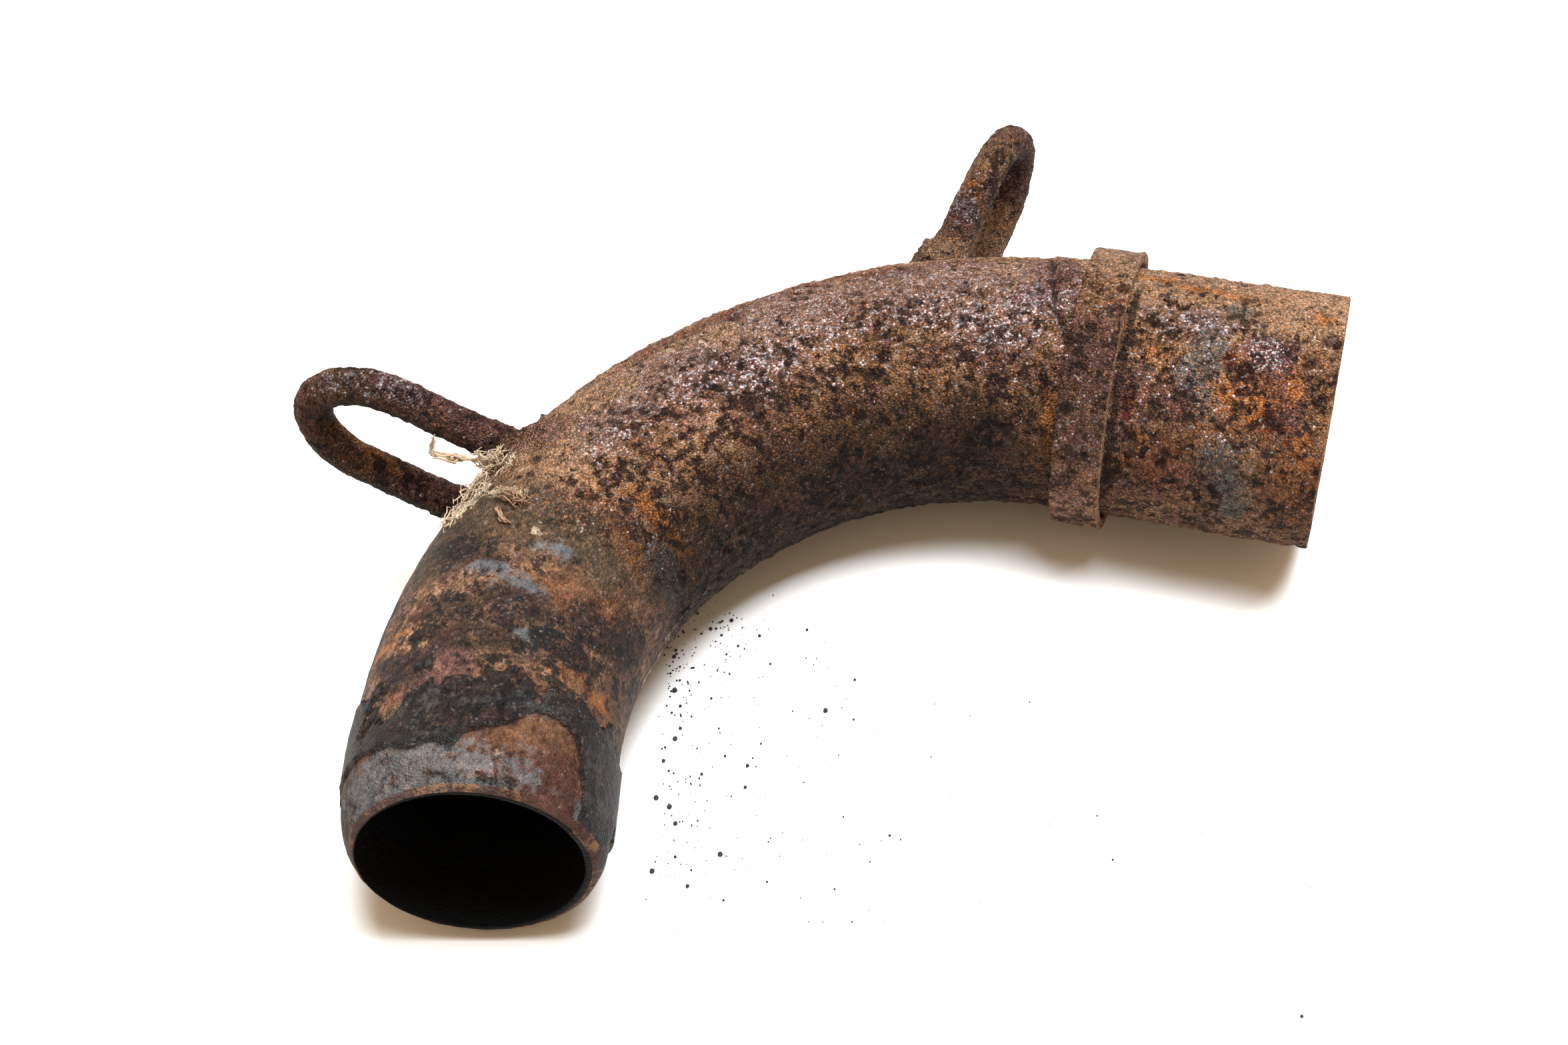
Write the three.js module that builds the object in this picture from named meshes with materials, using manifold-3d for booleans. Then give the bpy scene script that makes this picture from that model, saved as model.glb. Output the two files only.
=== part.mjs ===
// A cut-off length of rusted steel exhaust pipe: a straight stub, a bend of rather more than a right
// angle and a short front leg with a rolled-in mouth. A flat band sits round the stub, and two hanger
// loops of round bar are welded to the outside of the bend. Millimetres, +Z up, lying on the floor.

import * as THREE from 'three';
import { mergeVertices } from 'three/addons/utils/BufferGeometryUtils.js';
import Module from 'manifold-3d';

const wasm = await Module();
wasm.setup();
const radians = THREE.MathUtils.degToRad;

// Driving dimensions of the pipe
const pipeRadius = 27;
const wall = 2;
const bendRadius = 96;
const bendAngle = radians(104.5);
const stubLength = 51;
const frontLegLength = 25.5;

// The pipe narrows slightly from the bend on, and its last stretch is rolled in to a smaller mouth,
// whose rim is thicker on the inside of the bend by the mouth's offset
const legEndRadius = 25.3;
const mouthInnerRadius = 20.7;
const mouthRim = 1.6;
const mouthOffset = 0.9;
const shoulderLength = 11;
const shoulderTurn = radians(72);

// The mouth was cut a little off square: its plane leans by these slopes across and up the pipe
const mouthSlantAcross = 0.023;
const mouthSlantUp = -0.054;
const slantLength = 24;

// The band round the stub, its near edge measured from the stub's cut end
const bandFromEnd = 43.3;
const bandWidth = 10.9;
const bandThickness = 3.1;
const bandCorner = 0.6;

// A piece that touches its neighbour keeps this gap to it
const gap = 0.3;

// Hanger loops: round bar bent into a U, with both feet welded to the pipe
const barRadius = 4.1;
const loopHalfWidth = 12.2;
const loopLength = 37.5;
const loopCapDepth = 15.5;
const legBuried = 18;

// Where each loop stands, and how it leans, in degrees. alongBend counts from the start of the bend,
// roundPipe from the outside of the bend upwards. leanAlong and leanRound tip it from upright on
// the surface, and twist turns its width away from the pipe's own direction. The weld round each
// foot has its own radius and height.
const loops = [
  {
    name: 'front_loop',
    alongBend: 73.2,
    roundPipe: 17.2,
    leanAlong: 20.2,
    leanRound: -15.8,
    twist: 82.7,
    weldRadius: 4.9,
    weldHeight: 4,
  },
  {
    name: 'rear_loop',
    alongBend: 17,
    roundPipe: 6.7,
    leanAlong: -29,
    leanRound: -18.5,
    twist: 92.5,
    weldRadius: 7.2,
    weldHeight: 5,
  },
];

// Fineness of the model
const sidesRound = 40;
const stepsInBend = 24;
const stepsInShoulder = 5;
const sidesOfBar = 14;
const stepsInLoop = 40;

const bendLength = bendRadius * bendAngle;
const pipeLength = stubLength + bendLength + frontLegLength;
const mouthOuterRadius = mouthInnerRadius + mouthRim;

const rust = new THREE.MeshStandardMaterial({ color: 0x5a4033, roughness: 0.9, metalness: 0.25 });
const bandRust = new THREE.MeshStandardMaterial({ color: 0x64483a, roughness: 0.88, metalness: 0.25 });
const barRust = new THREE.MeshStandardMaterial({ color: 0x544033, roughness: 0.85, metalness: 0.3 });

// The pipe's own directions at a length s from the cut end of the stub
function pipeFrame(s) {
  const turned = THREE.MathUtils.clamp((s - stubLength) / bendRadius, 0, bendAngle);
  const angle = Math.PI / 2 + turned;
  const outward = new THREE.Vector3(Math.cos(angle), Math.sin(angle), 0);
  const along = new THREE.Vector3(-Math.sin(angle), Math.cos(angle), 0);
  const centre = outward.clone().multiplyScalar(bendRadius);
  const straight = s < stubLength ? s - stubLength : Math.max(0, s - stubLength - bendLength);
  centre.addScaledVector(along, straight);
  return { centre, outward, along };
}

// A point that lies at length s, and so far across and up from the pipe's centre line
function onPipe(s, across, up) {
  const { centre, outward } = pipeFrame(s);
  return centre.addScaledVector(outward, across).add(new THREE.Vector3(0, 0, up));
}

function outerRadius(s) {
  const taperLength = pipeLength - shoulderLength - stubLength;
  const share = THREE.MathUtils.clamp((s - stubLength) / taperLength, 0, 1);
  return THREE.MathUtils.lerp(pipeRadius, legEndRadius, share);
}

// Where the turned outline has its points: the stub, even steps in the bend, and the leg
function stations() {
  const list = [0, stubLength / 2];
  for (let i = 0; i <= stepsInBend; i += 1) {
    list.push(stubLength + (bendLength * i) / stepsInBend);
  }
  list.push(pipeLength - shoulderLength);
  return list;
}

// The rolled-in end of a wall that starts at radius from and ends at radius to
function shoulder(from, to) {
  const points = [];
  for (let i = 1; i <= stepsInShoulder; i += 1) {
    const turn = (shoulderTurn * i) / stepsInShoulder;
    const drop = (1 - Math.cos(turn)) / (1 - Math.cos(shoulderTurn));
    const reach = Math.sin(turn) / Math.sin(shoulderTurn);
    const radius = THREE.MathUtils.lerp(from, to, drop);
    points.push(new THREE.Vector2(radius, pipeLength - shoulderLength + shoulderLength * reach));
  }
  return points;
}

// Turns a closed outline of radius and length round the pipe's axis, and puts each point in place
function turned(outline, place) {
  const geometry = new THREE.LatheGeometry([...outline, outline[0]], sidesRound);
  const position = geometry.attributes.position;
  for (let i = 0; i < position.count; i += 1) {
    const cornerOfOutline = i % (outline.length + 1);
    const point = place(position.getY(i), position.getX(i), position.getZ(i), cornerOfOutline);
    position.setXYZ(i, point.x, point.y, point.z);
  }
  return merged(geometry);
}

// How far along the pipe a point lies once the leg's end is cut along the mouth's slanted plane
function slanted(s, across, up) {
  const share = THREE.MathUtils.smoothstep(s, pipeLength - slantLength, pipeLength);
  return s + share * (mouthSlantAcross * across + mouthSlantUp * up);
}

// The stub's straight direction, which the band keeps although the bend begins under its far edge
function onStub(s, across, up) {
  return new THREE.Vector3(stubLength - s, bendRadius + across, up);
}

function merged(geometry) {
  geometry.deleteAttribute('normal');
  geometry.deleteAttribute('uv');
  return mergeVertices(geometry, 1e-4);
}

function toSolid(geometry) {
  const mesh = new wasm.Mesh({
    numProp: 3,
    vertProperties: new Float32Array(geometry.attributes.position.array),
    triVerts: new Uint32Array(geometry.index.array),
  });
  return new wasm.Manifold(mesh);
}

function toGeometry(solid) {
  const { vertProperties, triVerts } = solid.getMesh();
  const geometry = new THREE.BufferGeometry();
  geometry.setAttribute('position', new THREE.BufferAttribute(vertProperties, 3));
  geometry.setIndex(new THREE.BufferAttribute(triVerts, 1));
  geometry.computeVertexNormals();
  return geometry;
}

function bendPipe() {
  const outside = stations().map((s) => new THREE.Vector2(outerRadius(s), s));
  const inside = stations().map((s) => new THREE.Vector2(outerRadius(s) - wall, s));
  outside.push(...shoulder(legEndRadius, mouthOuterRadius));
  inside.push(...shoulder(legEndRadius - wall, mouthInnerRadius));
  return turned([...outside, ...inside.reverse()], (s, across, up, corner) => {
    const rolledIn = THREE.MathUtils.smoothstep(s, pipeLength - shoulderLength, pipeLength);
    const shift = corner < outside.length ? mouthOffset * rolledIn : 0;
    return onPipe(slanted(s, across, up), across - shift, up);
  });
}

function band() {
  const inner = pipeRadius + gap;
  const outer = inner + bandThickness;
  const start = bandFromEnd;
  const end = bandFromEnd + bandWidth;
  const outline = [
    new THREE.Vector2(inner, start),
    new THREE.Vector2(outer - bandCorner, start),
    new THREE.Vector2(outer, start + bandCorner),
    new THREE.Vector2(outer, end - bandCorner),
    new THREE.Vector2(outer - bandCorner, end),
    new THREE.Vector2(inner, end),
  ];
  return turned(outline, onStub);
}

// The pipe as a full core with the gap added, which the loops' feet are cut to
function pipeCore() {
  const outline = stations().map((s) => new THREE.Vector2(outerRadius(s) + gap, s));
  outline.push(new THREE.Vector2(0, pipeLength - shoulderLength));
  outline.unshift(new THREE.Vector2(0, 0));
  return toSolid(turned(outline, onPipe));
}

// The middle line of a loop: up one leg, over the rounded end and down the other leg
class LoopLine extends THREE.Curve {
  constructor(foot, upwards, sideways) {
    super();
    this.foot = foot;
    this.upwards = upwards;
    this.sideways = sideways;
    this.straight = loopLength - loopCapDepth + legBuried;
    this.arc = (Math.PI * (loopHalfWidth + loopCapDepth)) / 2;
  }

  getPoint(t) {
    const travelled = t * (2 * this.straight + this.arc);
    const turn = THREE.MathUtils.clamp((travelled - this.straight) / this.arc, 0, 1) * Math.PI;
    const back = Math.max(0, travelled - this.straight - this.arc);
    const height = Math.min(travelled, this.straight) - back - legBuried + loopCapDepth * Math.sin(turn);
    const side = loopHalfWidth * Math.cos(turn);
    return this.foot.clone().addScaledVector(this.upwards, height).addScaledVector(this.sideways, side);
  }
}

// The foot of a loop on the pipe, with the direction of its legs and of its width
function loopPlace({ alongBend, roundPipe, leanAlong, leanRound, twist }) {
  const { centre, outward, along } = pipeFrame(stubLength + radians(alongBend) * bendRadius);
  const up = new THREE.Vector3(0, 0, 1);
  const normal = outward.clone().multiplyScalar(Math.cos(radians(roundPipe)));
  normal.addScaledVector(up, Math.sin(radians(roundPipe)));
  const round = new THREE.Vector3().crossVectors(along, normal);
  const foot = centre.addScaledVector(normal, pipeRadius);
  const upwards = normal.clone().addScaledVector(along, Math.tan(radians(leanAlong)));
  upwards.addScaledVector(round, Math.tan(radians(leanRound))).normalize();
  const sideways = along.clone().multiplyScalar(Math.cos(radians(twist)));
  sideways.addScaledVector(round, Math.sin(radians(twist)));
  sideways.addScaledVector(upwards, -sideways.dot(upwards)).normalize();
  return { foot, upwards, sideways };
}

// How far a point is from the pipe's centre line, in the bend
function fromCentreLine(point) {
  return Math.hypot(Math.hypot(point.x, point.y) - bendRadius, point.z);
}

// The bead of weld round a leg, where the leg reaches the pipe's surface
function weld(legFoot, upwards, { weldRadius, weldHeight }) {
  const point = legFoot.clone().addScaledVector(upwards, loopLength / 2);
  const step = 0.25;
  while (fromCentreLine(point) > pipeRadius) point.addScaledVector(upwards, -step);
  const profile = [
    new THREE.Vector2(0, -legBuried / 2),
    new THREE.Vector2(weldRadius, -legBuried / 2),
    new THREE.Vector2(weldRadius, 0.1 * weldHeight),
    new THREE.Vector2(0.86 * weldRadius, 0.4 * weldHeight),
    new THREE.Vector2(0.68 * weldRadius, 0.75 * weldHeight),
    new THREE.Vector2(0.9 * barRadius, weldHeight),
    new THREE.Vector2(0, weldHeight),
  ];
  const bead = new THREE.LatheGeometry(profile, sidesOfBar + 4);
  bead.applyQuaternion(new THREE.Quaternion().setFromUnitVectors(new THREE.Vector3(0, 1, 0), upwards));
  bead.translate(point.x, point.y, point.z);
  return toSolid(merged(bead));
}

function hangerLoop(loop, core) {
  const { foot, upwards, sideways } = loopPlace(loop);
  const section = new THREE.Shape().absarc(0, 0, barRadius, 0, 2 * Math.PI);
  const bar = new THREE.ExtrudeGeometry(section, {
    extrudePath: new LoopLine(foot, upwards, sideways),
    steps: stepsInLoop,
    curveSegments: sidesOfBar / 2,
    bevelEnabled: false,
  });
  let solid = toSolid(merged(bar));
  for (const side of [1, -1]) {
    const legFoot = foot.clone().addScaledVector(sideways, side * loopHalfWidth);
    solid = solid.add(weld(legFoot, upwards, loop));
  }
  return toGeometry(solid.subtract(core));
}

// The plane under the part on which three of its lowest points rest, with its weight between them
function restingNormal() {
  const lowest = stations().map((s) => onPipe(s, 0, -outerRadius(s)));
  const bandLow = -(pipeRadius + gap + bandThickness);
  lowest.push(onStub(bandFromEnd + bandCorner, 0, bandLow));
  lowest.push(onStub(bandFromEnd + bandWidth - bandCorner, 0, bandLow));
  const weight = new THREE.Vector3();
  const samples = 100;
  for (let i = 0; i < samples; i += 1) {
    weight.add(onPipe((pipeLength * (i + 0.5)) / samples, 0, 0).divideScalar(samples));
  }
  const inside = (a, b, c) => {
    const turn = (p, q) => (q.x - p.x) * (weight.y - p.y) - (q.y - p.y) * (weight.x - p.x);
    const turns = [turn(a, b), turn(b, c), turn(c, a)];
    return turns.every((t) => t > 0) || turns.every((t) => t < 0);
  };
  for (const a of lowest) {
    for (const b of lowest) {
      for (const c of lowest) {
        const plane = new THREE.Plane().setFromCoplanarPoints(a, b, c);
        if (plane.normal.z < 0) plane.negate();
        const clear = lowest.every((point) => plane.distanceToPoint(point) > -1e-6);
        if (plane.normal.z > 0.9 && clear && inside(a, b, c)) return plane.normal;
      }
    }
  }
  throw new Error('no resting plane found');
}

const solids = [
  ['bend_pipe', bendPipe(), rust],
  ['band', band(), bandRust],
];
const core = pipeCore();
for (const loop of loops) {
  solids.push([loop.name, hangerLoop(loop, core), barRust]);
}

const part = new THREE.Group();
for (const [name, geometry, material] of solids) {
  const mesh = new THREE.Mesh(geometry, material);
  mesh.name = name;
  part.add(mesh);
}

// Lie it down as it rests, with the origin under the middle of its box, on the floor
part.quaternion.setFromUnitVectors(restingNormal(), new THREE.Vector3(0, 0, 1));
part.updateMatrixWorld(true);
const box = new THREE.Box3().setFromObject(part, true);
const middle = box.getCenter(new THREE.Vector3());
part.position.set(-middle.x, -middle.y, -box.min.z);

export default part;
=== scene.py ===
"""The looks of a cut-off length of rusted exhaust pipe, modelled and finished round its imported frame.

Each piece is modelled by an operator of its own: the bent pipe, the band round its stub, the two
hanger loops, the fibres caught at one loop, and the stage. Lengths are in metres.
"""

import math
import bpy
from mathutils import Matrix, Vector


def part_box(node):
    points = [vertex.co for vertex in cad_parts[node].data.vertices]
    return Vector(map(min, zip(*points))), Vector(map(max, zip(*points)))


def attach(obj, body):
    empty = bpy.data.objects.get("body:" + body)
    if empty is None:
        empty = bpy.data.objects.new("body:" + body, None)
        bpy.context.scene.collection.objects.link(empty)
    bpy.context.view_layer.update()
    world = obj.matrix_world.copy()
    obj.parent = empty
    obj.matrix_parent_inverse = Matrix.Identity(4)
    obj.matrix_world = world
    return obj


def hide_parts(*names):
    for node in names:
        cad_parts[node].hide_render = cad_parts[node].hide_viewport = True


bl_info = {
    "name": "Corroded pipe",
    "version": (1, 0, 0),
    "blender": (4, 5, 0),
    "location": "3D View > Sidebar > Corroded pipe",
    "description": "Models a rust-scaled length of bent pipe with a band and two hanger loops",
    "category": "Object",
}

from contextlib import contextmanager
from random import Random
from typing import NamedTuple

import bmesh
import bpy
import numpy as np
from bpy.props import FloatProperty, FloatVectorProperty, IntProperty, PointerProperty
from mathutils import Matrix, Vector, noise

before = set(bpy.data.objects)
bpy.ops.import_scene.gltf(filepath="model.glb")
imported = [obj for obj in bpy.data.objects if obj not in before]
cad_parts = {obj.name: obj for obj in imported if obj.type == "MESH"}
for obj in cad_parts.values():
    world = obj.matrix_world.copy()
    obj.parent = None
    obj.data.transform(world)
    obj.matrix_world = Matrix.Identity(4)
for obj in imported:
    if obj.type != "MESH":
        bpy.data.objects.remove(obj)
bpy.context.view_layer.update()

MM = 0.001


def length(name, description, millimetres):
    """A length that the user can change, given in millimetres."""
    return FloatProperty(
        name=name, description=description, default=millimetres * MM, unit="LENGTH", precision=5
    )


def angle(name, description, degrees):
    """An angle that the user can change, given in degrees."""
    return FloatProperty(name=name, description=description, default=math.radians(degrees), subtype="ANGLE")


def colour(name, description, value):
    """A surface colour that the user can change."""
    return FloatVectorProperty(
        name=name, description=description, default=value, size=3, min=0, max=1, subtype="COLOR"
    )


class PipeSizes(bpy.types.PropertyGroup):
    """The bent pipe's driving sizes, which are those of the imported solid."""

    pipe_radius: length("Radius", "Outside radius of the straight stub", 27)
    wall: length("Wall", "Thickness of the pipe's wall", 2)
    bend_radius: length("Bend radius", "Radius of the bend along the pipe's middle line", 96)
    bend_angle: angle("Bend angle", "How far the pipe turns from the stub to the front leg", 104.5)
    stub: length("Stub", "Length of the straight stub", 51)
    leg: length("Front leg", "Length of the front leg, with its mouth", 25.5)
    leg_radius: length("Leg radius", "Outside radius where the front leg starts to roll in", 25.3)
    mouth_radius: length("Mouth radius", "Inside radius of the rolled-in mouth", 20.7)
    mouth_rim: length("Mouth rim", "Thickness of the mouth's rim", 1.6)
    mouth_offset: length("Mouth offset", "How far the rim's outside lies towards the inside of the bend", 0.9)
    shoulder: length("Shoulder", "Length over which the mouth rolls in", 11)
    shoulder_turn: angle("Shoulder turn", "Angle that the wall turns through at the mouth", 72)
    slant_across: angle("Slant across", "Lean of the mouth's cut across the pipe", 1.3)
    slant_up: angle("Slant up", "Lean of the mouth's cut up the pipe", -3.1)
    slant_reach: length("Slant reach", "Length of the leg over which the lean fades out", 24)
    rest_along: angle("Rest along", "Tilt of the stub as the band lifts it off the floor", 2.614)
    rest_across: angle("Rest across", "Tilt across the stub as the pipe lies on the floor", 0.281)
    sides: IntProperty(name="Sides", description="Sides of the pipe before it is smoothed", default=52)


class BandSizes(bpy.types.PropertyGroup):
    """The flat band round the stub."""

    from_end: length("From the end", "From the stub's cut end to the band", 43.3)
    width: length("Width", "Width of the strip", 10.9)
    thickness: length("Thickness", "Thickness of the strip", 3.1)
    clearance: length("Clearance", "Gap between the strip and the pipe", 0.3)
    sides: IntProperty(name="Sides", description="Sides of the band before it is smoothed", default=96)


class LoopSizes(bpy.types.PropertyGroup):
    """The two hanger loops of round bar."""

    bar_radius: length("Bar radius", "Radius of the round bar", 4.1)
    half_width: length("Half width", "Half the distance between the legs' middle lines", 12.2)
    reach: length("Reach", "From the pipe's surface to the loop's tip along the bar's middle line", 37.5)
    cap_depth: length("Cap depth", "Depth of the loop's rounded end", 15.5)
    buried: length("Buried", "Length of each leg below the foot before it is cut to the pipe", 12)
    grain: length("Grain", "Size of the cells that the loops are remeshed with", 0.42)


class RustColours(bpy.types.PropertyGroup):
    """The colours of the rust, scale and dirt."""

    umber: colour("Umber", "Darkest brown of the rust", (0.052, 0.026, 0.018))
    brown: colour("Brown", "Middle brown of the rust", (0.200, 0.100, 0.044))
    # Tan is also the painted lighter top, laid with the dust over the upper sides.
    tan: colour("Tan", "Dry rust dust on the upper sides", (0.310, 0.182, 0.108))
    maroon: colour("Maroon", "Purple-brown oxide", (0.100, 0.046, 0.044))
    russet: colour("Russet", "Orange-brown rust", (0.160, 0.056, 0.020))
    ochre: colour("Ochre", "Fresh orange rust", (0.290, 0.100, 0.024))
    ember: colour("Ember", "Wet-looking deep red in the pits", (0.070, 0.008, 0.004))
    # Pale and steel are the colours of painted glints: highlights painted into the rust on the upper sides.
    pale: colour("Pale grains", "Pinkish-white crystals on the upper sides", (0.460, 0.375, 0.375))
    steel: colour("Steel grains", "Blue-grey crystals on the upper sides", (0.200, 0.225, 0.250))
    slate: colour("Slate", "Smooth green-grey oxide", (0.066, 0.073, 0.070))
    olive: colour("Olive", "Dull film over the front leg's top", (0.045, 0.034, 0.022))
    scale: colour("Scale", "Black mill scale on the front leg", (0.009, 0.009, 0.010))
    bare: colour("Bare", "Reddish skin where the scale has come off", (0.058, 0.024, 0.017))
    ash: colour("Ash", "Light grey film above the mouth", (0.088, 0.092, 0.097))
    lime: colour("Lime", "Off-white residue under the fibres", (0.440, 0.355, 0.250))
    # The black laid over the pipe's inner wall.
    inside_black: colour("Soot", "Black soot inside the pipe", (0.004, 0.004, 0.004))


class StageSizes(bpy.types.PropertyGroup):
    """The floor, lights and camera."""

    floor: length("Floor", "Side of the square floor", 6000)
    camera_place: FloatVectorProperty(
        name="Camera place",
        description="Where the camera stands",
        default=(0.08264, -0.2633, 0.3426),
        unit="LENGTH",
        precision=5,
    )
    camera_turn: FloatVectorProperty(
        name="Camera turn",
        description="How the camera is turned",
        default=[math.radians(degrees) for degrees in (40.605, 1.616, 16.464)],
        subtype="EULER",
    )
    camera_lens: FloatProperty(
        name="Lens", description="Focal length of the camera", default=45.92, unit="CAMERA"
    )
    key_power: FloatProperty(
        name="Key light", description="Power of the overhead soft light", default=50, unit="POWER"
    )
    key_colour: colour("Key colour", "Colour of the overhead soft light", (0.90, 0.955, 1.0))
    fill: FloatProperty(name="Fill", description="Strength of the pale surroundings", default=0.66)
    fill_colour: colour("Fill colour", "Colour of the pale surroundings", (1.0, 0.71, 0.45))
    crumbs: IntProperty(name="Crumbs", description="Number of crumbs fallen on the floor", default=480)


def sizes():
    """The scene's own sizes and colours."""
    return bpy.context.scene.corroded_pipe


class CorrodedPipeSettings(bpy.types.PropertyGroup):
    """Everything that a user would change."""

    pipe: PointerProperty(type=PipeSizes, name="Pipe", description="Sizes of the bent pipe")
    band: PointerProperty(type=BandSizes, name="Band", description="Sizes of the band")
    loops: PointerProperty(type=LoopSizes, name="Loops", description="Sizes of the hanger loops")
    colours: PointerProperty(type=RustColours, name="Colours", description="Colours of the rust")
    stage: PointerProperty(type=StageSizes, name="Stage", description="Floor, lights and camera")


# Working on a piece


def only(piece):
    """Makes the piece the one selected and active object."""
    bpy.ops.object.select_all(action="DESELECT")
    piece.select_set(True)
    bpy.context.view_layer.objects.active = piece


@contextmanager
def editing(piece):
    """Edit mode on the piece, with its mesh to select from."""
    only(piece)
    bpy.ops.object.mode_set(mode="EDIT")
    try:
        yield bmesh.from_edit_mesh(piece.data)
    finally:
        bpy.ops.object.mode_set(mode="OBJECT")


def select_where(piece, mesh, kind, wanted):
    """Selects only the vertices, edges or faces for which wanted says yes."""
    bpy.ops.mesh.select_mode(type=kind)
    bpy.ops.mesh.select_all(action="DESELECT")
    parts = {"VERT": mesh.verts, "EDGE": mesh.edges, "FACE": mesh.faces}[kind]
    for part in parts:
        part.select = wanted(part)
    mesh.select_flush_mode()
    bmesh.update_edit_mesh(piece.data)


def added(operator, **settings):
    """The object that the operator adds, with everything else deselected."""
    bpy.ops.object.select_all(action="DESELECT")
    operator(**settings)
    return bpy.context.active_object


def joined(pieces):
    """Joins the pieces to the first one."""
    only(pieces[0])
    for piece in pieces:
        piece.select_set(True)
    bpy.ops.object.join()
    return bpy.context.active_object


def pulled_ring(sides, rings):
    """A sleeve along X: one ring, pulled through each (length along, radius, shift across) in turn."""
    piece = added(
        bpy.ops.mesh.primitive_circle_add,
        vertices=sides,
        radius=rings[0][1] * smoothing_swell(sides),
        rotation=(0, math.pi / 2, 0),
    )
    bpy.ops.object.transform_apply(location=True, rotation=True, scale=True)
    with editing(piece):
        bpy.ops.mesh.select_all(action="SELECT")
        for before, ring in zip(rings, rings[1:]):
            bpy.ops.mesh.extrude_edges_move(
                TRANSFORM_OT_translate={"value": (ring[0] - before[0], ring[2] - before[2], 0)}
            )
            growth = ring[1] / before[1]
            bpy.ops.transform.resize(value=(1, growth, growth), center_override=(ring[0], ring[2], 0))
    return piece


def close_sleeve(piece, mesh):
    """Joins the sleeve's last ring to its first, and turns its faces outwards."""
    select_where(piece, mesh, "EDGE", lambda edge: edge.is_boundary)
    bpy.ops.mesh.bridge_edge_loops()
    bpy.ops.mesh.select_all(action="SELECT")
    bpy.ops.mesh.normals_make_consistent(inside=False)


def smoothing_swell(sides):
    """How much larger a ring with this many sides is made, since smoothing draws it in."""
    return 6 / (4 + 2 * math.cos(2 * math.pi / sides))


def apply_modifier(piece, kind, name, **settings):
    """Adds a modifier with these settings and applies it."""
    only(piece)
    modifier = piece.modifiers.new(name, kind)
    for setting, value in settings.items():
        setattr(modifier, setting, value)
    bpy.ops.object.modifier_apply(modifier=modifier.name)


def apply_place(piece, place):
    """Puts the piece's place into its mesh, so that its object stays at the origin."""
    only(piece)
    piece.matrix_world = place
    bpy.ops.object.transform_apply(location=True, rotation=True, scale=True)


def remove(piece):
    """Deletes a helper that no longer has a use."""
    bpy.data.objects.remove(piece, do_unlink=True)


def points_of(piece):
    """The piece's vertices, one to a row."""
    flat = np.empty(len(piece.data.vertices) * 3, np.float32)
    piece.data.vertices.foreach_get("co", flat)
    return flat.reshape(-1, 3).astype(float)


def set_points(piece, points):
    """Moves the piece's vertices to these rows."""
    piece.data.vertices.foreach_set("co", points.astype(np.float32).ravel())
    piece.data.update()


def finish_piece(piece, name, node, material):
    """Names the piece, smooths it, gives it its finish and ties it to the frame."""
    piece.name = name
    piece.data.name = name
    only(piece)
    bpy.ops.object.shade_smooth()
    piece.data.materials.clear()
    piece.data.materials.append(material)
    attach(piece, "root")
    if node:
        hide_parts(node)


# Where things lie on the pipe


def bend_length():
    """Length of the bend along the pipe's middle line."""
    pipe = sizes().pipe
    return pipe.bend_radius * pipe.bend_angle


def pipe_length():
    """Length of the whole pipe along its middle line."""
    pipe = sizes().pipe
    return pipe.stub + bend_length() + pipe.leg


def outer_radius(along):
    """Outside radius at a length along the pipe: it narrows slightly from the bend on."""
    pipe = sizes().pipe
    taper = pipe_length() - pipe.shoulder - pipe.stub
    share = np.clip((along - pipe.stub) / taper, 0, 1)
    return pipe.pipe_radius + share * (pipe.leg_radius - pipe.pipe_radius)


def pipe_frame(along):
    """The middle line's point at this length, with the outward side of the bend and the way along."""
    pipe = sizes().pipe
    turned = min(max((along - pipe.stub) / pipe.bend_radius, 0), pipe.bend_angle)
    direction = math.pi / 2 + turned
    outward = Vector((math.cos(direction), math.sin(direction), 0))
    forward = Vector((-math.sin(direction), math.cos(direction), 0))
    straight = along - pipe.stub if along < pipe.stub else max(0, along - pipe.stub - bend_length())
    return outward * pipe.bend_radius + forward * straight, outward, forward


def rest_place():
    """How the bent pipe lies on the floor: tipped by the band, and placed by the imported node's box."""
    pipe = sizes().pipe
    upright = Vector((math.tan(pipe.rest_along), math.tan(pipe.rest_across), 1)).normalized()
    turn = upright.rotation_difference(Vector((0, 0, 1))).to_matrix().to_4x4()
    corners = [[], [], []]
    steps = 400
    for step in range(steps + 1):
        along = pipe_length() * step / steps
        centre, _, forward = pipe_frame(along)
        centre, forward = turn @ centre, turn @ forward
        radius = float(outer_radius(along)) if along < pipe_length() - pipe.shoulder else 0
        for axis in range(3):
            reach = radius * math.sqrt(max(0, 1 - forward[axis] ** 2))
            corners[axis] += [centre[axis] - reach, centre[axis] + reach]
    low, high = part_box("bend_pipe")
    shift = Vector((high.x - max(corners[0]), high.y - max(corners[1]), low.z - min(corners[2])))
    return Matrix.Translation(shift) @ turn


# Relief and paint


def wander(points, size, octaves=3, seed=0):
    """A value from about -1 to 1 at each point, which swells and fades over about this size."""
    shift = Vector((3.1, 7.7, 5.3)) * (seed + 1)
    return np.array([noise.fractal(Vector(p) / size + shift, 0.8, 2.0, octaves) for p in points])


def cells(points, size, seed=0):
    """How far each point is from the nearest of many scattered centres, as a share of this size."""
    shift = Vector((9.2, 1.4, 4.6)) * (seed + 1)
    return np.array([noise.voronoi(Vector(p) / size + shift)[0][0] for p in points])


def ease(values, low, high):
    """Rises smoothly from 0 at low to 1 at high."""
    share = np.clip((values - low) / (high - low), 0, 1)
    return share * share * (3 - 2 * share)


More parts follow.
